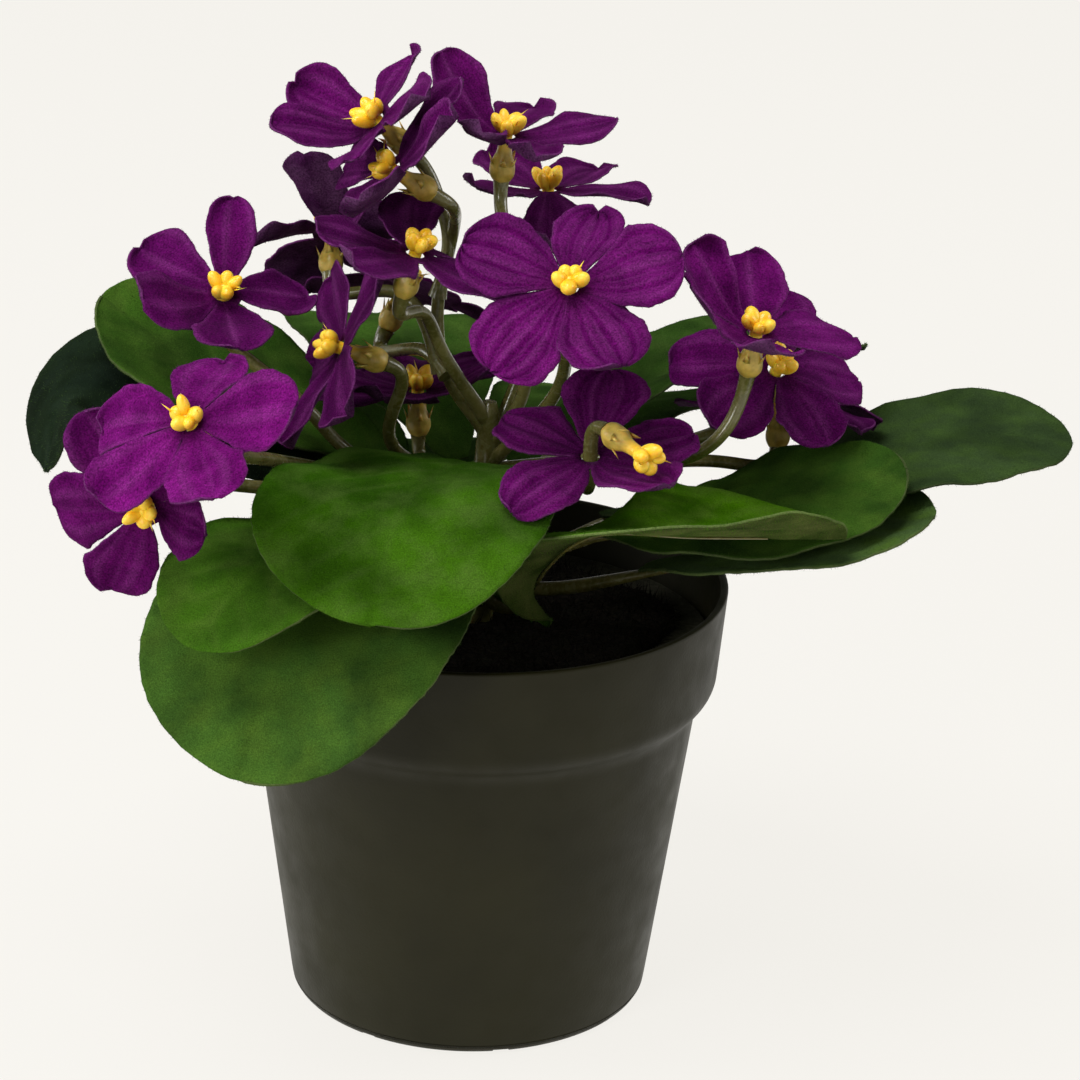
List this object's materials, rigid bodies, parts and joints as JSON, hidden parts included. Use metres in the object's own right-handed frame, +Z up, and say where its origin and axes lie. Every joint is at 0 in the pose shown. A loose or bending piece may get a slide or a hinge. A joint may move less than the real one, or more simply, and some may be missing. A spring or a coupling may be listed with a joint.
{
  "type": "artificial african violet",
  "caption": "Artificial African violet: violet fabric blooms and flocked leaves on a moulded stem, in a small tapered plastic pot.",
  "frame": {"origin": "centre of the pot's flat underside", "axes": "+Z up along the pot's axis, -Y towards the side seen in the picture, +X to that viewer's right"},
  "size_m": [0.1851, 0.1451, 0.1739],
  "materials": {
    "pot": "satin, dark grey-brown",
    "filler": "rough, grey",
    "cover": "dark fibrous mat",
    "stem": "glossy, olive green",
    "leaf": "short flock, green",
    "petal": "woven, violet",
    "heart": "satin, yellow"
  },
  "bodies": {
    "root": {"pot": "pot", "filler": "filler", "cover": "cover", "stems": "stem", "leaf_01": "leaf", "leaf_02": "leaf", "leaf_03": "leaf", "leaf_04": "leaf", "leaf_05": "leaf", "leaf_06": "leaf", "leaf_07": "leaf", "leaf_08": "leaf", "leaf_09": "leaf", "leaf_10": "leaf", "leaf_11": "leaf", "leaf_12": "leaf", "leaf_13": "leaf", "leaf_14": "leaf", "bloom_01_petals": "petal", "bloom_02_petals": "petal", "bloom_03_petals": "petal", "bloom_04_petals": "petal", "bloom_05_petals": "petal", "bloom_06_petals": "petal", "bloom_07_petals": "petal", "bloom_08_petals": "petal", "bloom_09_petals": "petal", "bloom_10_petals": "petal", "bloom_11_petals": "petal", "bloom_12_petals": "petal", "bloom_13_petals": "petal", "bloom_14_petals": "petal", "bloom_15_petals": "petal", "bloom_16_petals": "petal", "bloom_17_petals": "petal", "bloom_01_heart": "heart", "bloom_02_heart": "heart", "bloom_03_heart": "heart", "bloom_04_heart": "heart", "bloom_05_heart": "heart", "bloom_06_heart": "heart", "bloom_07_heart": "heart", "bloom_08_heart": "heart", "bloom_09_heart": "heart", "bloom_10_heart": "heart", "bloom_11_heart": "heart", "bloom_12_heart": "heart", "bloom_13_heart": "heart", "bloom_14_heart": "heart", "bloom_15_heart": "heart", "bloom_16_heart": "heart", "bloom_17_heart": "heart"}
  },
  "joints": []
}
